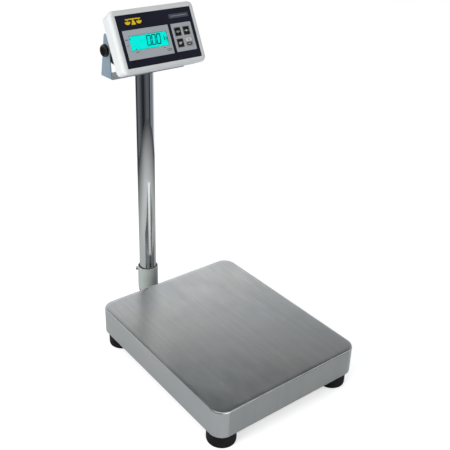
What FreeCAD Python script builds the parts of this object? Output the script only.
"""Bench scale: a stainless platform on a single load cell, a round column and a tilting indicator.

Millimetres. +Z is up, -Y is the side the user stands on, and the origin is at the middle of the
object's footprint on the floor. Every size is a cell of the sheet "Sheet"; the pieces are tied to
those cells by expressions, so a changed cell moves everything that fits to it.
"""
import FreeCAD, Part
import Sketcher
import math
import os
import re

Vector = FreeCAD.Vector
doc = FreeCAD.newDocument("bench_scale")

# ---------------------------------------------------------------- driving sizes

SIZES = [
    # stainless pan
    ("pan_width", 341.4), ("pan_depth", 409.1), ("pan_top", 88.9), ("pan_sheet", 1.5),
    ("pan_corner", 26.5), ("pan_bend", 3.0), ("skirt_gap", 1.6),
    # base frame: a ring of channel, open below, with a bar across the middle
    ("frame_bottom", 30.0), ("rail_width", 24.0), ("rail_height", 20.0), ("rail_wall", 2.0),
    ("beam_width", 60.0), ("beam_sheet", 5.0), ("boss_radius", 9.0),
    # levelling feet
    ("foot_inset", 32.2), ("foot_radius", 27.9), ("foot_height", 26.0), ("foot_floor", 8.0),
    ("foot_edge", 1.2), ("groove_depth", 1.0), ("groove_width", 1.6), ("groove_pitch", 4.6),
    ("foot_thread", 5.0), ("foot_stud_top", 56.0), ("lock_nut_height", 3.8), ("lock_nut_radius", 9.8),
    # load cell and what it is bolted between
    ("cell_length", 130.0), ("cell_width", 35.0), ("cell_height", 22.0), ("cell_bore", 8.0),
    ("cell_bore_pitch", 22.0), ("cell_slot", 6.0), ("cell_bolt", 3.0), ("cell_bolt_end", 10.0),
    ("cell_bolt_pitch", 15.0), ("lower_spacer_height", 4.0), ("spacer_length", 34.0),
    ("cell_bolt_grip", 14.0), ("bolt_head", 5.5), ("bolt_head_height", 4.0), ("button_height", 3.0),
    # carrier under the pan, and its rubber pads
    ("carrier_length", 350.0), ("carrier_rail", 30.0), ("carrier_bar", 140.0),
    ("carrier_height", 12.0), ("carrier_sheet", 3.0), ("pad_radius", 14.0), ("pad_height", 4.0),
    ("pad_inset", 15.0),
    # overload stops
    ("stop_travel", 0.8), ("stop_reach", 120.0), ("stop_thread", 4.0), ("stop_head", 6.5),
    ("stop_head_height", 5.0), ("stop_tail", 6.0), ("stop_nut_radius", 7.5), ("stop_nut_height", 4.0),
    # column plate and socket
    ("plate_width", 44.0), ("plate_sheet", 5.0), ("plate_bolt", 4.0), ("plate_bolt_reach", 14.0),
    ("plate_nut_radius", 7.5), ("plate_nut_height", 6.0),
    ("post_gap", 59.9), ("post_radius", 19.0), ("post_wall", 1.5), ("cable_hole", 7.0),
    ("socket_wall", 1.8), ("bush_wall", 2.1), ("socket_rim", 88.7), ("socket_rim_round", 0.7),
    ("socket_floor", 5.0), ("socket_screw", 2.0), ("socket_screw_ring", 14.5),
    ("socket_screw_head", 3.6), ("socket_screw_head_height", 2.4),
    ("bush_recess", 14.7), ("grommet_lip", 1.5), ("grommet_wall", 1.5),
    ("clamp_screw", 2.5), ("clamp_height", 77.0), ("clamp_head", 4.2), ("clamp_head_height", 5.0),
    ("clamp_angle", 135.0), ("clamp_key", 2.0),
    # spirit level on the column plate
    ("level_radius", 9.0), ("level_height", 9.0), ("level_behind", 22.0), ("vial_radius", 6.5),
    ("vial_height", 5.0),
    # bracket on top of the post
    ("bracket_bottom", 548.6), ("bracket_side", 3.2), ("bracket_sheet", 2.0), ("bracket_front", 17.5),
    ("bracket_back", 22.9), ("arm_height", 88.0), ("arm_front", 8.6), ("arm_back", 5.7),
    ("arm_round", 6.5), ("bracket_bend", 3.0), ("pivot_height", 56.0), ("pivot_ahead", 1.2),
    ("plug_height", 30.0), ("plug_screw", 2.5), ("plug_screw_ring", 11.0), ("plug_bore", 6.0),
    ("plug_screw_head", 4.25),
    # indicator case, drawn about its pivot with the face upright
    ("lean", 26.8), ("face_ahead", 62.0), ("face_drop", 2.6), ("case_rise", 0.8),
    ("case_width", 194.4), ("case_height", 124.0), ("case_corner", 12.0), ("case_edge", 7.0),
    ("case_draft", 5.0), ("front_depth", 33.0), ("front_wall", 3.0), ("side_wall", 4.6),
    ("rebate_depth", 3.5), ("rebate_width", 2.4), ("gasket_height", 1.0),
    ("rear_width", 164.0), ("rear_height", 98.8), ("rear_depth", 39.0), ("rear_back_width", 159.0),
    ("rear_back_height", 52.8), ("rear_corner", 9.0), ("rear_wall", 2.5),
    ("pivot_boss", 9.0), ("pivot_boss_depth", 17.0), ("insert_radius", 6.0), ("knob_thread", 4.0),
    ("washer_height", 1.9), ("washer_radius", 12.0), ("case_screw", 1.5), ("case_screw_head", 2.8),
    ("case_screw_head_height", 1.6), ("case_screw_grip", 12.0), ("case_boss", 4.0),
    ("case_screw_in", 8.4), ("case_screw_reach", 38.0),
    # face: overlay, window, display, keys
    ("overlay_width", 171.4), ("overlay_height", 101.3), ("overlay_sheet", 0.5), ("overlay_sunk", 0.2),
    ("window_width", 85.7), ("window_height", 28.5), ("window_x", -25.2), ("window_y", -4.5),
    ("glass_rim", 1.2), ("glass_gap", 0.3), ("glass_height", 2.5), ("light_rim", 4.5),
    ("light_height", 6.0), ("key_width", 15.0), ("key_height", 17.0), ("key_column", 20.6),
    ("key_row", 22.4), ("key_x", 54.2), ("key_y", -7.1), ("key_proud", 0.3), ("key_thick", 3.0),
    ("key_gap", 0.3), ("key_corner", 0.36), ("board_sheet", 1.6), ("keypad_board_width", 46.0),
    ("keypad_board_height", 50.0),
    ("main_board_width", 134.0), ("main_board_height", 92.0), ("standoff_height", 13.0),
    ("standoff_radius", 3.0), ("standoff_x", 60.0), ("standoff_y", 40.0),
    # back of the case
    ("battery_width", 88.0), ("battery_height", 38.0), ("battery_depth", 22.0), ("door_width", 98.0),
    ("door_height", 43.0), ("door_sheet", 1.4), ("door_lip", 2.5), ("door_gap", 0.3),
    ("inlet_x", 58.5), ("inlet_bore", 2.8), ("inlet_radius", 5.5), ("inlet_flange", 8.0),
    ("inlet_flange_height", 2.0), ("inlet_length", 13.0), ("inlet_floor", 2.0),
    ("gland_x", -58.5), ("gland_bore", 2.6), ("gland_radius", 6.0), ("gland_hex", 8.5),
    ("gland_hex_height", 4.0), ("gland_dome", 7.2), ("gland_dome_height", 9.0), ("gland_dome_side", 5.4),
    ("gland_lip", 2.4), ("gland_inside", 7.0),
    # knobs
    ("knob_radius", 12.6), ("knob_height", 9.5), ("knob_gap", 0.3), ("knob_flute", 1.2),
    ("knob_flute_out", 0.48),
    ("knob_round", 1.8), ("knob_hub", 8.5), ("stud_inside", 15.0),
    # fits
    ("thread_gap", 0.05), ("bolt_gap", 0.2), ("turn_gap", 0.05), ("pivot_gap", 0.3),
]
FLUTES = 20
GROOVES = 4
KEY_SHARE = 0.9  # a hexagon socket is this much of its thread, corner to corner
SCREW_TURN = 45  # degrees from the row's x axis to the socket's first screw

sheet = doc.addObject("Spreadsheet::Sheet", "Sheet")
for row, (alias, value) in enumerate(SIZES, start=1):
    sheet.set(f"A{row}", alias)
    sheet.set(f"B{row}", str(value))
    sheet.setAlias(f"B{row}", alias)
doc.recompute()
ALIASES = {alias for alias, value in SIZES}

# ---------------------------------------------------------------- places worked out from the sizes

SOCKET_BORE = "(post_radius + turn_gap + bush_wall + thread_gap)"
SOCKET_RADIUS = f"({SOCKET_BORE} + socket_wall)"
PAN_Y = f"(-(post_gap + post_radius + {SOCKET_RADIUS}) / 2)"
POST_Y = f"({PAN_Y} + pan_depth / 2 + post_gap + post_radius)"
RAIL_X = "(pan_width / 2 - foot_inset)"
RAIL_Y = "(pan_depth / 2 - foot_inset)"
CELL_BOTTOM = "(frame_bottom + beam_sheet + lower_spacer_height)"
CELL_TOP = f"({CELL_BOTTOM} + cell_height)"
CARRIER_TOP = "(pan_top - pan_sheet - pad_height)"
CARRIER_ROOF = f"({CARRIER_TOP} - carrier_sheet)"
STOP_TOP = f"({CARRIER_ROOF} - stop_travel)"
PLATE_BOTTOM = "(frame_bottom - plate_sheet)"
POST_BOTTOM = "(frame_bottom + socket_floor)"
POST_IN = "(post_radius - post_wall)"
PIVOT_Y = f"({POST_Y} - pivot_ahead)"
PIVOT_Z = "(bracket_bottom + pivot_height)"
ARM_INSIDE = "(rear_width / 2 + bracket_side)"
BRACKET_WIDTH = f"(2 * ({ARM_INSIDE} + bracket_sheet))"
# depths behind the pivot, in the case's own frame
FACE = "(-face_ahead)"
SHELL_FRONT = f"({FACE} + overlay_sheet - overlay_sunk)"
SHELL_INSIDE = f"({FACE} + overlay_sheet + front_wall)"
SHELL_BACK = f"({FACE} + front_depth)"
LEDGE = f"({SHELL_BACK} - rebate_depth)"
FLANGE_FRONT = f"({LEDGE} + gasket_height)"
CASE_BACK = f"({SHELL_BACK} + rear_depth)"
BACK_INSIDE = f"({CASE_BACK} - rear_wall)"
# heights above the pivot, in the case's own frame
FACE_Z = "(-face_drop)"
CASE_Z = "(case_rise - face_drop)"
SHELL_BACK_DROP = "(front_depth * tan(case_draft))"
LEDGE_WIDTH = f"(case_width - 2 * {SHELL_BACK_DROP} - 2 * rebate_width)"
LEDGE_HEIGHT = f"(case_height - 2 * {SHELL_BACK_DROP} - 2 * rebate_width)"
HOLLOW_WIDTH = f"(case_width - 2 * {SHELL_BACK_DROP} - 2 * side_wall)"
HOLLOW_HEIGHT = f"(case_height - 2 * {SHELL_BACK_DROP} - 2 * side_wall)"
BOSS_FACE = f"({ARM_INSIDE} - washer_height - turn_gap)"
CASE_SCREW_X = f"({LEDGE_WIDTH} / 2 - case_screw_in + case_boss)"


# ---------------------------------------------------------------- helpers

def tied(text):
    """The formula with the sheet's name put before each of its cells."""
    return re.sub(r"[a-z][a-z_]*", lambda found: tie(found.group(0)), text)


def tie(word):
    return f"Sheet.{word}" if word in ALIASES else word


def size(text):
    """The formula's present value."""
    found = sheet.evalExpression(tied(with_degrees(text)))
    return float(getattr(found, "Value", found))


def with_degrees(text):
    """tan() takes an angle, so a plain cell is given its unit there."""
    return text.replace("tan(case_draft)", "tan(case_draft * 1deg)")


def bind(item, name, text):
    item.setExpression(name, tied(with_degrees(text)))


def place(item, x="0", y="0", z="0", lean=None, turn=None):
    """Put an item where the formulas say; lean tips it back about X, turn is (axis, degrees)."""
    if lean:
        item.Placement = FreeCAD.Placement(Vector(), FreeCAD.Rotation(Vector(-1, 0, 0), size(lean)))
        bind(item, "Placement.Rotation.Angle", lean)
    if turn:
        item.Placement = FreeCAD.Placement(Vector(), FreeCAD.Rotation(Vector(*turn[0]), size(turn[1])))
        bind(item, "Placement.Rotation.Angle", turn[1])
    for axis, text in zip("xyz", (x, y, z)):
        bind(item, f"Placement.Base.{axis}", text)
    return item


def in_case(item):
    """Carry an item drawn about the pivot to its place on the bracket."""
    return place(item, "0", PIVOT_Y, PIVOT_Z, lean="lean")


def on_platform(item, z):
    return place(item, "0", PAN_Y, z)


def on_column(item, z):
    return place(item, "0", POST_Y, z)


PIECES = []


def piece(item, label):
    item.Label = label
    PIECES.append(item)
    return item


def new_body(label):
    body = doc.addObject("PartDesign::Body", label)
    return piece(body, label)


def new_sketch(body, plane, offset="0"):
    """A sketch on one of the body's own planes, moved along that plane's normal."""
    sketch = body.newObject("Sketcher::SketchObject", f"{body.Name}_sketch")
    base = [item for item in body.Origin.OriginFeatures if item.Role == plane][0]
    sketch.AttachmentSupport = [(base, "")]
    sketch.MapMode = "FlatFace"
    bind(sketch, "AttachmentOffset.Base.z", offset)
    return sketch


def fix_point(sketch, index, end, x, y):
    """Hold a point of the sketch at a formula's distance from its origin."""
    across = sketch.addConstraint(Sketcher.Constraint("DistanceX", -1, 1, index, end, size(x)))
    bind(sketch, f"Constraints[{across}]", x)
    up = sketch.addConstraint(Sketcher.Constraint("DistanceY", -1, 1, index, end, size(y)))
    bind(sketch, f"Constraints[{up}]", y)


def draw_circle(sketch, radius, x="0", y="0"):
    centre = Vector(size(x), size(y), 0)
    index = sketch.addGeometry(Part.Circle(centre, Vector(0, 0, 1), size(radius)), False)
    held = sketch.addConstraint(Sketcher.Constraint("Radius", index, size(radius)))
    bind(sketch, f"Constraints[{held}]", radius)
    fix_point(sketch, index, 3, x, y)
    return sketch


def draw_outline(sketch, points):
    """A closed outline of straight lines through points given as pairs of formulas."""
    spots = [Vector(size(x), size(y), 0) for x, y in points]
    count = len(spots)
    first = sketch.GeometryCount
    for step in range(count):
        sketch.addGeometry(Part.LineSegment(spots[step], spots[(step + 1) % count]), False)
    for step in range(count):
        after = first + (step + 1) % count
        sketch.addConstraint(Sketcher.Constraint("Coincident", first + step, 2, after, 1))
    for step, (x, y) in enumerate(points):
        fix_point(sketch, first + step, 1, x, y)
    return sketch


def draw_rectangle(sketch, width, height, x="0", y="0"):
    left, right = f"{x} - ({width}) / 2", f"{x} + ({width}) / 2"
    low, high = f"{y} - ({height}) / 2", f"{y} + ({height}) / 2"
    return draw_outline(sketch, [(left, low), (right, low), (right, high), (left, high)])


def draw_rounded(sketch, width, height, corner, x="0", y="0"):
    """A rectangle with round corners: four lines and four arcs, tangent all round."""
    radius = size(corner)
    first = sketch.GeometryCount
    ways = [(1, -1, -90), (1, 1, 0), (-1, 1, 90), (-1, -1, 180)]
    arcs, centres = [], []
    for side, rise, start in ways:
        centre_x = f"{x} + {side} * (({width}) / 2 - ({corner}))"
        centre_y = f"{y} + {rise} * (({height}) / 2 - ({corner}))"
        centre = Vector(size(centre_x), size(centre_y), 0)
        begin, end = math.radians(start), math.radians(start + 90)
        whole = Part.Circle(centre, Vector(0, 0, 1), radius)
        arcs.append(Part.ArcOfCircle(whole, begin, end))
        centres.append((centre_x, centre_y))
    for step in range(4):
        sketch.addGeometry(arcs[step], False)
        following = arcs[(step + 1) % 4]
        sketch.addGeometry(Part.LineSegment(arcs[step].EndPoint, following.StartPoint), False)
    for step in range(4):
        arc, line = first + 2 * step, first + 2 * step + 1
        after = first + (2 * step + 2) % 8
        sketch.addConstraint(Sketcher.Constraint("Tangent", arc, 2, line, 1))
        sketch.addConstraint(Sketcher.Constraint("Tangent", line, 2, after, 1))
        fix_point(sketch, arc, 3, *centres[step])
        if step:
            sketch.addConstraint(Sketcher.Constraint("Equal", first, arc))
    held = sketch.addConstraint(Sketcher.Constraint("Radius", first, radius))
    bind(sketch, f"Constraints[{held}]", corner)
    return sketch


def pad(body, sketch, length, backwards=False):
    """Grow the sketch along its normal, or against it when backwards is set."""
    feature = body.newObject("PartDesign::Pad", f"{body.Name}_pad")
    feature.Profile = sketch
    feature.Reversed = backwards
    bind(feature, "Length", length)
    doc.recompute()
    return feature


def pocket(body, sketch, length, onwards=True):
    """Cut along the sketch's normal, or against it when onwards is unset; it must remove something."""
    before = body.Shape.Volume
    feature = body.newObject("PartDesign::Pocket", f"{body.Name}_pocket")
    feature.Profile = sketch
    feature.Reversed = onwards
    bind(feature, "Length", length)
    doc.recompute()
    if not body.Shape.Volume < before - 1e-6:
        raise RuntimeError(f"a pocket in {body.Label} cuts nothing")
    return feature


def revolve(body, sketch):
    feature = body.newObject("PartDesign::Revolution", f"{body.Name}_turned")
    feature.Profile = sketch
    feature.ReferenceAxis = (sketch, ["V_Axis"])
    feature.Angle = 360
    doc.recompute()
    return feature


def edges_where(feature, test):
    names = []
    for number, edge in enumerate(feature.Shape.Edges, start=1):
        if test(edge):
            names.append(f"Edge{number}")
    if not names:
        raise RuntimeError(f"{feature.Label} has no such edge")
    return names


def level_edges(axis, text):
    """A test for edges that lie wholly at one height along an axis of the body."""
    level = size(text)

    def test(edge):
        box = edge.BoundBox
        low, high = getattr(box, f"{axis}Min"), getattr(box, f"{axis}Max")
        return abs(low - level) < 1e-4 and abs(high - level) < 1e-4
    return test


def fillet(body, feature, test, radius):
    rounded = body.newObject("PartDesign::Fillet", f"{body.Name}_fillet")
    rounded.Base = (feature, edges_where(feature, test))
    bind(rounded, "Radius", radius)
    doc.recompute()
    return rounded


def cylinder(name, radius, height, x="0", y="0", z="0", turn=None):
    item = doc.addObject("Part::Cylinder", name)
    bind(item, "Radius", radius)
    bind(item, "Height", height)
    return place(item, x, y, z, turn=turn)


def hexagon(name, radius, height, x="0", y="0", z="0"):
    item = doc.addObject("Part::Prism", name)
    item.Polygon = 6
    bind(item, "Circumradius", radius)
    bind(item, "Height", height)
    return place(item, x, y, z)


def fuse(name, items):
    item = doc.addObject("Part::MultiFuse", name)
    item.Shapes = items
    return item


def cut(name, base, tool):
    item = doc.addObject("Part::Cut", name)
    item.Base = base
    item.Tool = tool
    return item


def group(label, items):
    """Identical fasteners, each its own solid, under one name."""
    item = doc.addObject("Part::Compound", label)
    item.Links = items
    return piece(item, label)


def bolt(name, thread, grip, head, head_height, x="0", y="0", z="0", down=False):
    """A screw that stands on its head at z, or hangs from it when down is set, with a hexagon socket."""
    shank_z = f"{z} - ({grip})" if down else z
    head_z = z if down else f"{z} - ({head_height})"
    shank = cylinder(f"{name}_shank", thread, grip, x, y, shank_z)
    cap = cylinder(f"{name}_head", head, head_height, x, y, head_z)
    key_z = f"{z} + ({head_height}) / 2" if down else head_z
    key = hexagon(f"{name}_key", f"({thread}) * {KEY_SHARE}", f"({head_height}) / 2", x, y, key_z)
    return cut(name, fuse(f"{name}_whole", [shank, cap]), key)


def nut(name, radius, height, bore, x, y, z):
    outside = hexagon(f"{name}_hexagon", radius, height, x, y, z)
    return cut(name, outside, cylinder(f"{name}_bore", bore, height, x, y, z))


def corner_pairs(x, y):
    """The four corners of a rectangle as formulas: front left, front right, back left, back right."""
    return [(f"{side} * ({x})", f"{way} * ({y})") for way in (-1, 1) for side in (-1, 1)]


# ---------------------------------------------------------------- platform

def make_pan():
    """Pressed stainless tray, open below, that drops over the carrier."""
    skirt = "(pan_top - frame_bottom - skirt_gap)"
    body = on_platform(new_body("pan"), "frame_bottom + skirt_gap")
    outside = draw_rounded(new_sketch(body, "XY_Plane"), "pan_width", "pan_depth", "pan_corner")
    tray = pad(body, outside, skirt)
    fillet(body, tray, level_edges("Z", skirt), "pan_bend")
    inside = new_sketch(body, "XY_Plane")
    draw_rounded(inside, "pan_width - 2 * pan_sheet", "pan_depth - 2 * pan_sheet", "pan_corner - pan_sheet")
    hollow = pocket(body, inside, f"{skirt} - pan_sheet")
    fillet(body, hollow, level_edges("Z", f"{skirt} - pan_sheet"), "pan_bend - pan_sheet")


def cell_bolt_places(way):
    """The two bolts at one end of the load cell; way is 1 for the back end and -1 for the front."""
    first = f"({way} * (cell_length / 2 - cell_bolt_end))"
    second = f"({way} * (cell_length / 2 - cell_bolt_end - cell_bolt_pitch))"
    return [first, second]


def make_base_frame():
    """Ring of channel, open below, a flat bar from front to back and a threaded boss at each corner."""
    body = on_platform(new_body("base_frame"), "frame_bottom")
    ring = new_sketch(body, "XY_Plane")
    draw_rectangle(ring, f"2 * {RAIL_X} + rail_width", f"2 * {RAIL_Y} + rail_width")
    draw_rectangle(ring, f"2 * {RAIL_X} - rail_width", f"2 * {RAIL_Y} - rail_width")
    pad(body, ring, "rail_height")
    hollow = new_sketch(body, "XY_Plane")
    inner = "(rail_width - 2 * rail_wall)"
    draw_rectangle(hollow, f"2 * {RAIL_X} + {inner}", f"2 * {RAIL_Y} + {inner}")
    draw_rectangle(hollow, f"2 * {RAIL_X} - {inner}", f"2 * {RAIL_Y} - {inner}")
    pocket(body, hollow, "rail_height - rail_wall")
    bar = new_sketch(body, "XY_Plane")
    draw_rectangle(bar, "beam_width", f"2 * {RAIL_Y} - rail_width + rail_wall")
    pad(body, bar, "beam_sheet")
    bosses = new_sketch(body, "XY_Plane")
    for x, y in corner_pairs(RAIL_X, RAIL_Y):
        draw_circle(bosses, "boss_radius", x, y)
    pad(body, bosses, "rail_height")
    holes = new_sketch(body, "XY_Plane")
    for x, y in corner_pairs(RAIL_X, RAIL_Y):
        draw_circle(holes, "foot_thread + thread_gap", x, y)
    for x, y in corner_pairs(RAIL_X, "stop_reach"):
        draw_circle(holes, "stop_thread + thread_gap", x, y)
    for side in (-1, 1):
        draw_circle(holes, "plate_bolt + bolt_gap", f"{side} * plate_bolt_reach", RAIL_Y)
    for y in cell_bolt_places(1):
        draw_circle(holes, "cell_bolt + bolt_gap", "0", y)
    pocket(body, holes, "rail_height")


def make_load_cell():
    """Single-point aluminium cell: two bores joined by a slot leave the four thin bending webs."""
    body = on_platform(new_body("load_cell"), CELL_BOTTOM)
    pad(body, draw_rectangle(new_sketch(body, "XY_Plane"), "cell_width", "cell_length"), "cell_height")
    bores = new_sketch(body, "YZ_Plane", "-cell_width / 2")
    for way in (-1, 1):
        draw_circle(bores, "cell_bore", f"{way} * cell_bore_pitch / 2", "cell_height / 2")
    pocket(body, bores, "cell_width")
    slot = new_sketch(body, "YZ_Plane", "-cell_width / 2")
    pocket(body, draw_rectangle(slot, "cell_bore_pitch", "cell_slot", "0", "cell_height / 2"), "cell_width")
    holes = new_sketch(body, "XY_Plane")
    for way in (-1, 1):
        for y in cell_bolt_places(way):
            draw_circle(holes, "cell_bolt + thread_gap", "0", y)
    pocket(body, holes, "cell_height")


def make_spacer(label, way, bottom, height):
    """Packing block between the cell's end and the steel above or below it."""
    body = on_platform(new_body(label), bottom)
    outline = new_sketch(body, "XY_Plane")
    draw_rectangle(outline, "cell_width", "spacer_length", "0", f"{way} * (cell_length - spacer_length) / 2")
    for y in cell_bolt_places(way):
        draw_circle(outline, "cell_bolt + bolt_gap", "0", y)
    pad(body, outline, height)


def make_cell_bolts():
    low, high = [], []
    grip = "(beam_sheet + lower_spacer_height + cell_bolt_grip)"
    for number, y in enumerate(cell_bolt_places(1)):
        place_y = f"{PAN_Y} + {y}"
        low.append(bolt(f"low_bolt_{number}", "cell_bolt", grip, "bolt_head", "bolt_head_height",
                        "0", place_y, "frame_bottom"))
    group("lower_cell_bolts", low)
    grip = f"({CARRIER_TOP} - {CELL_TOP} + cell_bolt_grip)"
    for number, y in enumerate(cell_bolt_places(-1)):
        place_y = f"{PAN_Y} + {y}"
        high.append(bolt(f"high_bolt_{number}", "cell_bolt", grip, "bolt_head", "button_height",
                         "0", place_y, CARRIER_TOP, down=True))
    group("upper_cell_bolts", high)


def make_carrier():
    """H-shaped pressed carrier, open below, that spreads the pan's load to the cell."""
    bottom = f"({CARRIER_TOP} - carrier_height)"
    body = on_platform(new_body("carrier"), bottom)

    def outline(sketch, less):
        rail = f"(carrier_rail / 2 - {less})"
        outer, inner = f"({RAIL_X} + {rail})", f"({RAIL_X} - {rail})"
        reach, bar = f"(carrier_length / 2 - {less})", f"(carrier_bar / 2 - {less})"
        right = [(inner, f"-{bar}"), (inner, f"-{reach}"), (outer, f"-{reach}"),
                 (outer, reach), (inner, reach), (inner, bar)]
        left = [(f"-{x}", y) for x, y in reversed(right)]
        return draw_outline(sketch, right + left)

    pad(body, outline(new_sketch(body, "XY_Plane"), "0"), "carrier_height")
    hollow = outline(new_sketch(body, "XY_Plane"), "carrier_sheet")
    pocket(body, hollow, "carrier_height - carrier_sheet")
    holes = new_sketch(body, "XY_Plane")
    for y in cell_bolt_places(-1):
        draw_circle(holes, "cell_bolt + bolt_gap", "0", y)
    pocket(body, holes, "carrier_height")


def make_pan_pads():
    pads = []
    for number, (x, y) in enumerate(corner_pairs(RAIL_X, "(carrier_length / 2 - pad_inset)")):
        pads.append(cylinder(f"pad_{number}", "pad_radius", "pad_height", x, f"{PAN_Y} + {y}", CARRIER_TOP))
    group("pan_pads", pads)


def make_overload_stops():
    """Screws in the base rails whose heads stop the carrier just before the cell is overloaded."""
    screws, nuts = [], []
    rail_top = "(frame_bottom + rail_height)"
    head_z = f"({STOP_TOP} - stop_head_height)"
    for number, (x, y) in enumerate(corner_pairs(RAIL_X, "stop_reach")):
        place_y = f"{PAN_Y} + {y}"
        grip = f"({head_z} - {rail_top} + stop_tail)"
        screws.append(bolt(f"stop_{number}", "stop_thread", grip, "stop_head", "stop_head_height",
                           x, place_y, head_z, down=True))
        nuts.append(nut(f"stop_nut_{number}", "stop_nut_radius", "stop_nut_height",
                        "stop_thread + thread_gap", x, place_y, rail_top))
    group("overload_screws", screws)
    group("overload_nuts", nuts)


FOOT_NAMES = ["front_left", "front_right", "back_left", "back_right"]


def make_feet():
    """Black rubber feet with moulded grooves on steel studs, locked under the frame by thin nuts."""
    nuts = []
    profile = [("0", "0"), ("foot_radius - foot_edge", "0"), ("foot_radius", "foot_edge")]
    for number in range(GROOVES):
        low = f"foot_edge + {number + 1} * groove_pitch - groove_width / 2"
        high = f"foot_edge + {number + 1} * groove_pitch + groove_width / 2"
        profile += [("foot_radius", low), ("foot_radius - groove_depth", low)]
        profile += [("foot_radius - groove_depth", high), ("foot_radius", high)]
    bore = "foot_thread + thread_gap"
    profile += [("foot_radius", "foot_height"), (bore, "foot_height")]
    profile += [(bore, "foot_floor"), ("0", "foot_floor")]
    for name, (x, y) in zip(FOOT_NAMES, corner_pairs(RAIL_X, RAIL_Y)):
        place_y = f"{PAN_Y} + {y}"
        body = place(new_body(f"foot_{name}"), x, place_y, "0")
        revolve(body, draw_outline(new_sketch(body, "XZ_Plane"), profile))
        stud = cylinder(f"stud_{name}", "foot_thread", "foot_stud_top - foot_floor", x, place_y,
                        "foot_floor")
        piece(stud, f"stud_{name}")
        nuts.append(nut(f"lock_nut_{name}", "lock_nut_radius", "lock_nut_height",
                        "foot_thread + thread_gap", x, place_y, "frame_bottom - lock_nut_height"))
    group("foot_lock_nuts", nuts)


# ---------------------------------------------------------------- column

def make_column_plate():
    """Flat arm bolted under the back rail that carries the socket behind the pan."""
    body = place(new_body("column_plate"), "0", POST_Y, PLATE_BOTTOM)
    length = f"({POST_Y} - {PAN_Y} - {RAIL_Y} + rail_width / 2)"
    pad(body, draw_circle(new_sketch(body, "XY_Plane"), "plate_width / 2"), "plate_sheet")
    arm = draw_rectangle(new_sketch(body, "XY_Plane"), "plate_width", length, "0", f"-{length} / 2")
    pad(body, arm, "plate_sheet")
    holes = draw_circle(new_sketch(body, "XY_Plane"), "cable_hole")
    for side in (-1, 1):
        bolt_y = f"{PAN_Y} + {RAIL_Y} - {POST_Y}"
        draw_circle(holes, "plate_bolt + bolt_gap", f"{side} * plate_bolt_reach", bolt_y)
    for x, y in socket_screw_places():
        draw_circle(holes, "socket_screw + bolt_gap", x, y)
    pocket(body, holes, "plate_sheet")


def socket_screw_places():
    """Four screws up through the plate into the socket's floor, on the diagonals."""
    reach = f"socket_screw_ring * {math.sqrt(0.5):.6f}"
    return corner_pairs(reach, reach)


def make_column_bolts():
    bolts, nuts = [], []
    rail_top = "(frame_bottom + rail_height)"
    grip = f"({rail_top} - {PLATE_BOTTOM} + plate_nut_height)"
    for number, side in enumerate((-1, 1)):
        x, y = f"{side} * plate_bolt_reach", f"{PAN_Y} + {RAIL_Y}"
        bolts.append(bolt(f"column_bolt_{number}", "plate_bolt", grip, "stop_head", "stop_head_height",
                          x, y, PLATE_BOTTOM))
        nuts.append(nut(f"column_nut_{number}", "plate_nut_radius", "plate_nut_height",
                        "plate_bolt + thread_gap", x, y, rail_top))
    group("column_bolts", bolts)
    group("column_nuts", nuts)


def clamp_hole(body, radius):
    """A cross hole for the clamp screw, square to the column's axis."""
    sketch = new_sketch(body, "YZ_Plane")
    draw_circle(sketch, radius, "0", "clamp_height - frame_bottom")
    pocket(body, sketch, f"{SOCKET_RADIUS} + clamp_head_height")


def make_socket():
    """Turned steel cup, with a floor, that holds the foot of the post."""
    body = place(new_body("socket"), "0", POST_Y, "frame_bottom", turn=((0, 0, 1), "clamp_angle"))
    rim = "(socket_rim - frame_bottom)"
    soft = "socket_rim_round"
    profile = [("cable_hole", "0"), (SOCKET_RADIUS, "0"), (SOCKET_RADIUS, f"{rim} - {soft}"),
               (f"{SOCKET_RADIUS} - {soft}", rim), (SOCKET_BORE, rim), (SOCKET_BORE, "socket_floor"),
               ("cable_hole", "socket_floor")]
    revolve(body, draw_outline(new_sketch(body, "XZ_Plane"), profile))
    holes = new_sketch(body, "XY_Plane")
    for way in range(4):
        angle = math.radians(90 * way + SCREW_TURN - size("clamp_angle"))
        x, y = f"socket_screw_ring * {math.cos(angle):.6f}", f"socket_screw_ring * {math.sin(angle):.6f}"
        draw_circle(holes, "socket_screw + thread_gap", x, y)
    pocket(body, holes, "socket_floor")
    clamp_hole(body, "clamp_screw + thread_gap")


def make_socket_screws():
    screws = []
    grip = "(socket_floor + plate_sheet)"
    for number, (x, y) in enumerate(socket_screw_places()):
        screws.append(bolt(f"socket_screw_{number}", "socket_screw", grip, "socket_screw_head",
                           "socket_screw_head_height", x, f"{POST_Y} + {y}", PLATE_BOTTOM))
    group("socket_screws", screws)


def make_sleeve(label, outer, inner, bottom, height):
    """A plain round sleeve about the column's axis."""
    body = on_column(new_body(label), bottom)
    ring = draw_circle(new_sketch(body, "XY_Plane"), outer)
    pad(body, draw_circle(ring, inner), height)
    return body


def make_cable_grommet():
    """Rubber ring in the plate's cable hole, with a lip below."""
    body = on_column(new_body("cable_grommet"), f"{PLATE_BOTTOM} - grommet_lip")
    inner = "(cable_hole - grommet_wall)"
    profile = [(inner, "0"), ("cable_hole + grommet_lip", "0"), ("cable_hole + grommet_lip", "grommet_lip"),
               ("cable_hole", "grommet_lip"), ("cable_hole", "grommet_lip + plate_sheet"),
               (inner, "grommet_lip + plate_sheet")]
    revolve(body, draw_outline(new_sketch(body, "XZ_Plane"), profile))


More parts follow.
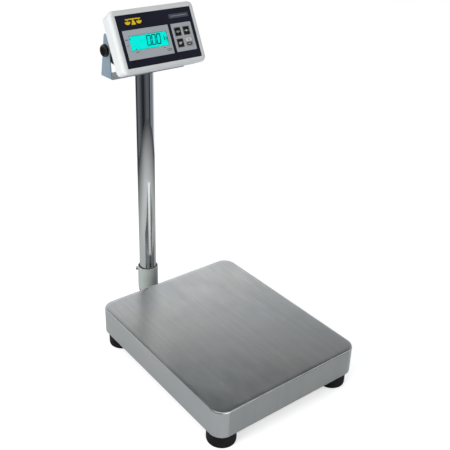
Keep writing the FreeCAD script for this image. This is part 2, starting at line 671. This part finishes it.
def make_clamp_screw():
    """Socket-head screw through the socket's wall; its tip bears on the post."""
    body = new_body("clamp_screw")
    place(body, "0", POST_Y, "clamp_height", turn=((0, 0, 1), "clamp_angle"))
    tip = "(post_radius + turn_gap)"
    shank = draw_circle(new_sketch(body, "YZ_Plane", tip), "clamp_screw")
    pad(body, shank, f"{SOCKET_RADIUS} - {tip} + bolt_gap")
    head = draw_circle(new_sketch(body, "YZ_Plane", f"{SOCKET_RADIUS} + bolt_gap"), "clamp_head")
    pad(body, head, "clamp_head_height")
    reach = f"({SOCKET_RADIUS} + bolt_gap + clamp_head_height / 2)"
    key = new_sketch(body, "YZ_Plane", reach)
    corners = [(math.cos(math.radians(60 * way)), math.sin(math.radians(60 * way))) for way in range(6)]
    draw_outline(key, [(f"clamp_key * {x:.6f}", f"clamp_key * {y:.6f}") for x, y in corners])
    pocket(body, key, "clamp_head_height / 2")


def make_level():
    """Round spirit level that stands on the column plate, and its glass vial."""
    y = f"({PAN_Y} + pan_depth / 2 + level_behind)"
    body = place(new_body("level_housing"), "0", y, "frame_bottom")
    floor = "(level_height - vial_height)"
    profile = [("0", "0"), ("level_radius", "0"), ("level_radius", "level_height"),
               ("vial_radius", "level_height"), ("vial_radius", floor), ("0", floor)]
    revolve(body, draw_outline(new_sketch(body, "XZ_Plane"), profile))
    vial = cylinder("level_vial", "vial_radius", "vial_height", "0", y, f"frame_bottom + {floor}")
    piece(vial, "level_vial")


def make_post():
    make_sleeve("post", "post_radius", POST_IN, POST_BOTTOM, f"bracket_bottom - {POST_BOTTOM}")
    body = on_column(new_body("post_plug"), "bracket_bottom - plug_height")
    outline = draw_circle(new_sketch(body, "XY_Plane"), POST_IN)
    draw_circle(outline, "plug_bore")
    for x, y in plug_screw_places():
        draw_circle(outline, "plug_screw + thread_gap", x, y)
    pad(body, outline, "plug_height")


def plug_screw_places():
    spots = []
    for way in range(3):
        angle = math.radians(90 + 120 * way)
        along, aside = math.cos(angle), math.sin(angle)
        spots.append((f"plug_screw_ring * {along:.6f}", f"plug_screw_ring * {aside:.6f}"))
    return spots


def make_bracket():
    """U-shaped sheet bracket: a plate on the post and two tapering arms for the case."""
    body = on_column(new_body("bracket"), "bracket_bottom")
    half, inside = f"({BRACKET_WIDTH} / 2)", ARM_INSIDE
    profile = new_sketch(body, "XZ_Plane", "-bracket_back")
    draw_outline(profile, [
        (f"-{half}", "0"), (half, "0"), (half, "arm_height"), (inside, "arm_height"),
        (inside, "bracket_sheet"), (f"-{inside}", "bracket_sheet"), (f"-{inside}", "arm_height"),
        (f"-{half}", "arm_height")])
    bent = pad(body, profile, "bracket_front + bracket_back")
    reach = size(half)

    def outer_bend(edge):
        box = edge.BoundBox
        return box.ZMax < 1e-4 and box.XLength < 1e-4 and abs(abs(box.XMin) - reach) < 1e-4
    fillet(body, bent, outer_bend, "bracket_bend")
    wedges = new_sketch(body, "YZ_Plane", f"-{half}")
    clear = "(arm_height + bracket_sheet)"
    draw_outline(wedges, [
        ("-bracket_front - bracket_sheet", "0"), ("-bracket_front", "0"), ("-arm_front", "arm_height"),
        ("-arm_front", clear), ("-bracket_front - bracket_sheet", clear)])
    draw_outline(wedges, [
        ("bracket_back", "0"), ("bracket_back + bracket_sheet", "0"),
        ("bracket_back + bracket_sheet", clear), ("arm_back", clear), ("arm_back", "arm_height")])
    tapered = pocket(body, wedges, BRACKET_WIDTH)
    top, sheet_size = size("arm_height"), size("bracket_sheet")

    def arm_tip(edge):
        box = edge.BoundBox
        return abs(box.ZMin - top) < 1e-4 and box.YLength < 1e-4 and abs(box.XLength - sheet_size) < 1e-4
    fillet(body, tapered, arm_tip, "arm_round")
    pivots = new_sketch(body, "YZ_Plane", f"-{half}")
    draw_circle(pivots, "knob_thread + pivot_gap", "-pivot_ahead", "pivot_height")
    pocket(body, pivots, BRACKET_WIDTH)
    holes = draw_circle(new_sketch(body, "XY_Plane"), "plug_bore")
    for x, y in plug_screw_places():
        draw_circle(holes, "plug_screw + bolt_gap", x, y)
    pocket(body, holes, "bracket_sheet")


def make_bracket_screws():
    screws = []
    for number, (x, y) in enumerate(plug_screw_places()):
        screws.append(bolt(f"bracket_screw_{number}", "plug_screw", "plug_height / 2", "plug_screw_head",
                           "plug_screw", x, f"{POST_Y} + {y}", "bracket_bottom + bracket_sheet", down=True))
    group("bracket_screws", screws)


# ---------------------------------------------------------------- indicator, drawn about its pivot

def face_plate(label, width, height, front, thick, x="0", z=FACE_Z, corner=None):
    """A flat piece parallel to the face; front is how far behind the pivot its front lies."""
    body = in_case(new_body(label))
    sketch = new_sketch(body, "XZ_Plane", f"-({front})")
    if corner:
        draw_rounded(sketch, width, height, corner, x, z)
    else:
        draw_rectangle(sketch, width, height, x, z)
    return body, pad(body, sketch, thick, backwards=True)


def face_pocket(body, front, depth, draw):
    """Cut backwards from a plane parallel to the face; draw puts the outline in the sketch."""
    sketch = new_sketch(body, "XZ_Plane", f"-({front})")
    draw(sketch)
    return pocket(body, sketch, depth, onwards=False)


WINDOW_Z = f"({FACE_Z} + window_y)"


def key_places():
    """Centres of the four keys: top left, top right, bottom left, bottom right."""
    spots = []
    for rise in (1, -1):
        for side in (-1, 1):
            x = f"(key_x + {side} * key_column / 2)"
            spots.append((x, f"({FACE_Z} + key_y + {rise} * key_row / 2)"))
    return spots


def case_screw_places():
    return [(x, f"{CASE_Z} + {z}") for x, z in corner_pairs(CASE_SCREW_X, "case_screw_reach")]


def make_front_shell():
    """Moulded front half: drafted sides, a round front edge, openings for display and keys."""
    body = in_case(new_body("front_shell"))
    outline = new_sketch(body, "XZ_Plane", f"-{SHELL_FRONT}")
    draw_rounded(outline, "case_width", "case_height", "case_corner", "0", CASE_Z)
    solid = pad(body, outline, f"{SHELL_BACK} - {SHELL_FRONT}", backwards=True)
    bind(solid, "TaperAngle", "-case_draft")
    doc.recompute()
    fillet(body, solid, level_edges("Y", SHELL_FRONT), "case_edge")

    def recess(sketch):
        draw_rectangle(sketch, "overlay_width + 2 * thread_gap", "overlay_height + 2 * thread_gap",
                       "0", FACE_Z)

    def rebate(sketch):
        draw_rounded(sketch, LEDGE_WIDTH, LEDGE_HEIGHT, "rear_corner", "0", CASE_Z)

    def hollow(sketch):
        draw_rounded(sketch, HOLLOW_WIDTH, HOLLOW_HEIGHT, "rear_corner - rebate_width", "0", CASE_Z)

    def window(sketch):
        draw_rectangle(sketch, "window_width + 4 * glass_rim", "window_height + 4 * glass_rim",
                       "window_x", WINDOW_Z)

    def key_holes(sketch):
        for x, z in key_places():
            draw_rectangle(sketch, "key_width + 2 * key_gap", "key_height + 2 * key_gap", x, z)

    face_pocket(body, SHELL_FRONT, "overlay_sunk", recess)
    face_pocket(body, LEDGE, "rebate_depth", rebate)
    face_pocket(body, SHELL_INSIDE, f"{LEDGE} - {SHELL_INSIDE}", hollow)
    face_pocket(body, SHELL_FRONT, f"{SHELL_INSIDE} - {SHELL_FRONT}", window)
    face_pocket(body, SHELL_FRONT, f"{SHELL_INSIDE} - {SHELL_FRONT}", key_holes)
    bosses = new_sketch(body, "XZ_Plane", f"-{SHELL_INSIDE}")
    for x, z in case_screw_places():
        draw_circle(bosses, "case_boss", x, z)
    pad(body, bosses, f"{LEDGE} - {SHELL_INSIDE}", backwards=True)

    def pilot_holes(sketch):
        for x, z in case_screw_places():
            draw_circle(sketch, "case_screw + thread_gap", x, z)
    face_pocket(body, f"{LEDGE} - case_screw_grip", "case_screw_grip", pilot_holes)


def loft(body, kind, near, far):
    feature = body.newObject(kind, f"{body.Name}_loft")
    feature.Profile = near
    feature.Sections = [far]
    doc.recompute()
    return feature


def make_rear_shell():
    """Moulded back half: a flange in the front half's rebate and a tapering box with the pivot bosses."""
    body = in_case(new_body("rear_shell"))
    flange = new_sketch(body, "XZ_Plane", f"-{FLANGE_FRONT}")
    draw_rounded(flange, f"{LEDGE_WIDTH} - 2 * bolt_gap", f"{LEDGE_HEIGHT} - 2 * bolt_gap",
                 "rear_corner - bolt_gap", "0", CASE_Z)
    pad(body, flange, f"{SHELL_BACK} - {FLANGE_FRONT}", backwards=True)

    def ring(depth, width, height, less):
        sketch = new_sketch(body, "XZ_Plane", f"-({depth})")
        shrink = f"2 * {less}"
        return draw_rounded(sketch, f"{width} - {shrink}", f"{height} - {shrink}",
                            f"rear_corner - {less}", "0", CASE_Z)

    near = ring(SHELL_BACK, "rear_width", "rear_height", "0")
    far = ring(CASE_BACK, "rear_back_width", "rear_back_height", "0")
    loft(body, "PartDesign::AdditiveLoft", near, far)
    near = ring(f"{SHELL_BACK} - rear_wall / 2", "rear_width", "rear_height", "rear_wall")
    far = ring(BACK_INSIDE, "rear_back_width", "rear_back_height", "rear_wall")
    loft(body, "PartDesign::SubtractiveLoft", near, far)

    def way_in(sketch):
        draw_rounded(sketch, "rear_width - 2 * rear_wall", "rear_height - 2 * rear_wall",
                     "rear_corner - rear_wall", "0", CASE_Z)
    face_pocket(body, FLANGE_FRONT, f"{SHELL_BACK} - {FLANGE_FRONT}", way_in)
    for start in (f"-{BOSS_FACE}", f"{BOSS_FACE} - pivot_boss_depth"):
        pad(body, draw_circle(new_sketch(body, "YZ_Plane", start), "pivot_boss"), "pivot_boss_depth")
    bores = draw_circle(new_sketch(body, "YZ_Plane", f"-{BOSS_FACE}"), "insert_radius")
    pocket(body, bores, f"2 * {BOSS_FACE}")

    def doorway(sketch):
        draw_rectangle(sketch, "door_width - 2 * door_lip", "door_height - 2 * door_lip", "0", CASE_Z)

    def door_seat(sketch):
        draw_rectangle(sketch, "door_width + 2 * door_gap", "door_height + 2 * door_gap", "0", CASE_Z)

    def back_holes(sketch):
        draw_circle(sketch, "inlet_radius", "inlet_x", CASE_Z)
        draw_circle(sketch, "gland_radius + thread_gap", "gland_x", CASE_Z)

    def screw_holes(sketch):
        for x, z in case_screw_places():
            draw_circle(sketch, "case_screw + bolt_gap", x, z)
    face_pocket(body, BACK_INSIDE, "rear_wall", doorway)
    face_pocket(body, f"{CASE_BACK} - door_sheet", "door_sheet", door_seat)
    face_pocket(body, BACK_INSIDE, "rear_wall", back_holes)
    face_pocket(body, FLANGE_FRONT, f"{SHELL_BACK} - {FLANGE_FRONT}", screw_holes)


def make_case_gasket():
    body = in_case(new_body("case_gasket"))
    ring = new_sketch(body, "XZ_Plane", f"-{LEDGE}")
    draw_rounded(ring, f"{LEDGE_WIDTH} - 2 * bolt_gap", f"{LEDGE_HEIGHT} - 2 * bolt_gap",
                 "rear_corner - bolt_gap", "0", CASE_Z)
    draw_rounded(ring, HOLLOW_WIDTH, HOLLOW_HEIGHT, "rear_corner - rebate_width", "0", CASE_Z)
    pad(body, ring, "gasket_height", backwards=True)
    bites = new_sketch(body, "XZ_Plane", f"-{LEDGE}")
    for x, z in case_screw_places():
        draw_circle(bites, "case_boss", x, z)
    pocket(body, bites, "gasket_height", onwards=False)


def make_case_screws():
    screws = []
    for number, (x, z) in enumerate(case_screw_places()):
        name = f"case_screw_{number}"
        grip = f"{SHELL_BACK} - {LEDGE} + case_screw_grip - case_screw"
        screw = bolt(name, "case_screw", grip, "case_screw_head", "case_screw_head_height", down=True)
        screws.append(place(screw, x, SHELL_BACK, z, turn=((-1, 0, 0), "90")))
    in_case(group("case_screws", screws))


def make_face():
    """Printed overlay with its window lens, the display behind it and the four membrane keys."""
    body = in_case(new_body("overlay"))
    outline = new_sketch(body, "XZ_Plane", f"-{FACE}")
    draw_rectangle(outline, "overlay_width", "overlay_height", "0", FACE_Z)
    draw_rectangle(outline, "window_width", "window_height", "window_x", WINDOW_Z)
    for x, z in key_places():
        draw_rectangle(outline, "key_width + 2 * key_gap", "key_height + 2 * key_gap", x, z)
    pad(body, outline, "overlay_sheet", backwards=True)
    face_plate("display_lens", "window_width", "window_height", FACE, "overlay_sheet", "window_x", WINDOW_Z)
    glass_front = f"({FACE} + overlay_sheet + glass_gap)"
    body = face_plate("lcd_module", "window_width + 2 * glass_rim", "window_height + 2 * glass_rim",
                      glass_front, f"{SHELL_INSIDE} - {glass_front}", "window_x", WINDOW_Z)[0]
    light = new_sketch(body, "XZ_Plane", f"-{SHELL_INSIDE}")
    draw_rectangle(light, "window_width + 2 * light_rim", "window_height + 2 * light_rim",
                   "window_x", WINDOW_Z)
    pad(body, light, "light_height", backwards=True)
    for number, (x, z) in enumerate(key_places(), start=1):
        face_plate(f"key_{number}", "key_width", "key_height", f"{FACE} - key_proud", "key_thick", x, z,
                   corner="key_corner")


def make_boards():
    """Keypad board behind the keys, main board on four standoffs."""
    face_plate("keypad_board", "keypad_board_width", "keypad_board_height", SHELL_INSIDE, "board_sheet",
               "key_x", f"{FACE_Z} + key_y")
    board_front = f"({SHELL_INSIDE} + standoff_height)"
    face_plate("main_board", "main_board_width", "main_board_height", board_front, "board_sheet",
               "0", CASE_Z)
    posts = []
    for number, (x, z) in enumerate(corner_pairs("standoff_x", "standoff_y")):
        posts.append(cylinder(f"standoff_{number}", "standoff_radius", "standoff_height",
                              x, SHELL_INSIDE, f"{CASE_Z} + {z}", turn=((-1, 0, 0), "90")))
    in_case(group("board_standoffs", posts))


def make_battery():
    front = f"({BACK_INSIDE} - battery_depth - door_gap)"
    face_plate("battery_pack", "battery_width", "battery_height", front, "battery_depth",
               "0", CASE_Z, corner="door_lip")
    face_plate("battery_door", "door_width", "door_height", f"{CASE_BACK} - door_sheet", "door_sheet",
               "0", CASE_Z, corner="door_lip")


def turned_along_back(label, x, profile):
    """A turned piece whose axis runs out of the back of the case; heights are from the back face."""
    body = new_body(label)
    revolve(body, draw_outline(new_sketch(body, "XZ_Plane"), profile))
    body.Placement = FreeCAD.Placement(Vector(), FreeCAD.Rotation(Vector(-1, 0, 0), 90 + size("lean")))
    bind(body, "Placement.Rotation.Angle", "90 + lean")
    lean = math.radians(size("lean"))
    back = f"({CASE_BACK})"
    bind(body, "Placement.Base.x", x)
    bind(body, "Placement.Base.y", f"{PIVOT_Y} + {back} * cos(lean * 1deg) + {CASE_Z} * sin(lean * 1deg)")
    bind(body, "Placement.Base.z", f"{PIVOT_Z} - {back} * sin(lean * 1deg) + {CASE_Z} * cos(lean * 1deg)")
    return body


def make_back_fittings():
    """Power inlet and cable gland in the back of the case."""
    inside = "(inlet_length - inlet_flange_height)"
    turned_along_back("dc_inlet", "inlet_x", [
        ("0", f"-{inside}"), ("inlet_radius", f"-{inside}"), ("inlet_radius", "0"), ("inlet_flange", "0"),
        ("inlet_flange", "inlet_flange_height"), ("inlet_bore", "inlet_flange_height"),
        ("inlet_bore", f"inlet_floor - {inside}"), ("0", f"inlet_floor - {inside}")])
    dome_top = "(gland_hex_height + gland_dome_height)"
    turned_along_back("cable_gland", "gland_x", [
        ("gland_bore", "-gland_inside"), ("gland_radius", "-gland_inside"), ("gland_radius", "0"),
        ("gland_hex", "0"), ("gland_hex", "gland_hex_height"), ("gland_dome", "gland_hex_height"),
        ("gland_dome", "gland_hex_height + gland_dome_side"), ("gland_bore + gland_lip", dome_top),
        ("gland_bore", dome_top)])


def make_pivot_pieces():
    """Brass inserts in the case, friction washers outside it, and the two knobs with their studs."""
    inserts, washers = [], []
    depth = "pivot_boss_depth"
    for number, start in enumerate((f"-{BOSS_FACE}", f"{BOSS_FACE} - {depth}")):
        sleeve = cylinder(f"insert_{number}", "insert_radius", depth, start, turn=((0, 1, 0), "90"))
        bore = cylinder(f"insert_bore_{number}", "knob_thread + turn_gap", depth, start,
                        turn=((0, 1, 0), "90"))
        inserts.append(cut(f"insert_piece_{number}", sleeve, bore))
    in_case(group("pivot_inserts", inserts))
    for number, start in enumerate((f"-{BOSS_FACE} - washer_height", BOSS_FACE)):
        disc = cylinder(f"washer_{number}", "washer_radius", "washer_height", start, turn=((0, 1, 0), "90"))
        bore = cylinder(f"washer_bore_{number}", "knob_thread + pivot_gap", "washer_height", start,
                        turn=((0, 1, 0), "90"))
        washers.append(cut(f"washer_piece_{number}", disc, bore))
    in_case(group("friction_washers", washers))
    inner = f"({BRACKET_WIDTH} / 2 + knob_gap)"
    for side, name, way in ((-1, "left", "-90"), (1, "right", "90")):
        knob = place(new_body(f"knob_{name}"), "0", PIVOT_Y, PIVOT_Z, turn=((0, 1, 0), way))
        outer = f"({inner} + knob_height)"
        profile = [("0", inner), ("knob_radius", inner), ("knob_radius", f"{outer} - knob_round"),
                   ("knob_radius - knob_round", outer), ("knob_hub", outer),
                   ("knob_hub - knob_flute", f"{outer} - knob_flute"), ("0", f"{outer} - knob_flute")]
        grip = revolve(knob, draw_outline(new_sketch(knob, "XZ_Plane"), profile))
        rim = new_sketch(knob, "XY_Plane", inner)
        flute = draw_circle(rim, "knob_flute", "knob_radius + knob_flute_out")
        groove = pocket(knob, flute, "knob_height")
        ring = knob.newObject("PartDesign::PolarPattern", f"knob_{name}_flutes")
        ring.Originals = [groove]
        ring.Axis = (flute, ["N_Axis"])
        ring.Angle = 360
        ring.Occurrences = FLUTES
        knob.Tip = ring
        doc.recompute()
        if not ring.Shape.Volume < groove.Shape.Volume:
            raise RuntimeError("the knob's flutes cut nothing")
        start = f"{inner} - stud_inside - washer_height"
        stud = cylinder(f"knob_stud_{name}", "knob_thread", "stud_inside + washer_height",
                        f"{side} * ({start})", PIVOT_Y, PIVOT_Z, turn=((0, 1, 0), way))
        piece(stud, f"knob_stud_{name}")


# ---------------------------------------------------------------- build, check and write

def build():
    make_base_frame()
    make_load_cell()
    make_spacer("lower_spacer", 1, "frame_bottom + beam_sheet", "lower_spacer_height")
    make_spacer("upper_spacer", -1, CELL_TOP, f"{CARRIER_ROOF} - {CELL_TOP}")
    make_cell_bolts()
    make_carrier()
    make_pan_pads()
    make_overload_stops()
    make_feet()
    make_pan()
    make_column_plate()
    make_column_bolts()
    make_socket()
    make_socket_screws()
    make_sleeve("post_bush", f"{SOCKET_BORE} - thread_gap", "post_radius + turn_gap", POST_BOTTOM,
                f"socket_rim - {POST_BOTTOM} - bush_recess")
    make_cable_grommet()
    make_clamp_screw()
    make_level()
    make_post()
    make_bracket()
    make_bracket_screws()
    make_front_shell()
    make_rear_shell()
    make_case_gasket()
    make_case_screws()
    make_face()
    make_boards()
    make_battery()
    make_back_fittings()
    make_pivot_pieces()
    doc.recompute()


def write():
    for item in doc.Objects:
        if {"Invalid", "Error"} & set(item.State):
            raise RuntimeError(f"{item.Label} failed: {item.State}")
    for item in PIECES:
        if item.Shape.isNull() or not item.Shape.isValid() or not item.Shape.Solids:
            raise RuntimeError(f"{item.Label} has no sound solid")
    os.makedirs("parts", exist_ok=True)
    for item in PIECES:
        item.Shape.exportStep(f"parts/{item.Label}.step")
        print(item.Label, len(item.Shape.Solids), round(item.Shape.Volume))
    print(len(PIECES), "pieces")


build()
write()
